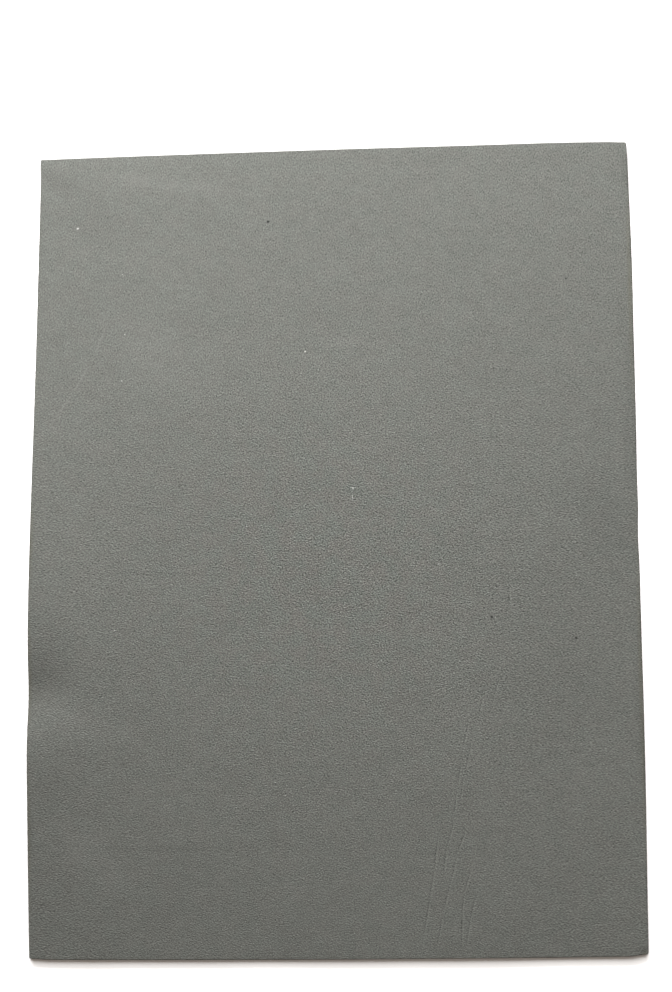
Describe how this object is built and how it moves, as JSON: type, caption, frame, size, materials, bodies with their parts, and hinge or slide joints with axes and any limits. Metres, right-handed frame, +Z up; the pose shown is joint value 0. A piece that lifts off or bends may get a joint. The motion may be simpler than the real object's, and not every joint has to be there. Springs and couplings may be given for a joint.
{
  "type": "craft foam sheet",
  "caption": "Thin rectangular sheet of soft closed-cell foam that lies flat, with its left edge slightly curled up, for cutting, gluing and padding.",
  "frame": {"origin": "on the table, under the middle of the sheet's box", "axes": "+X across the sheet, +Y along the sheet from its near edge to its far edge, +Z up through its thickness"},
  "size_m": [0.229, 0.306, 0.0056],
  "materials": {
    "foam": "matt closed-cell foam skin with a fine orange-peel grain, warm mid grey"
  },
  "bodies": {
    "root": {"foam_sheet": "foam"}
  },
  "joints": []
}
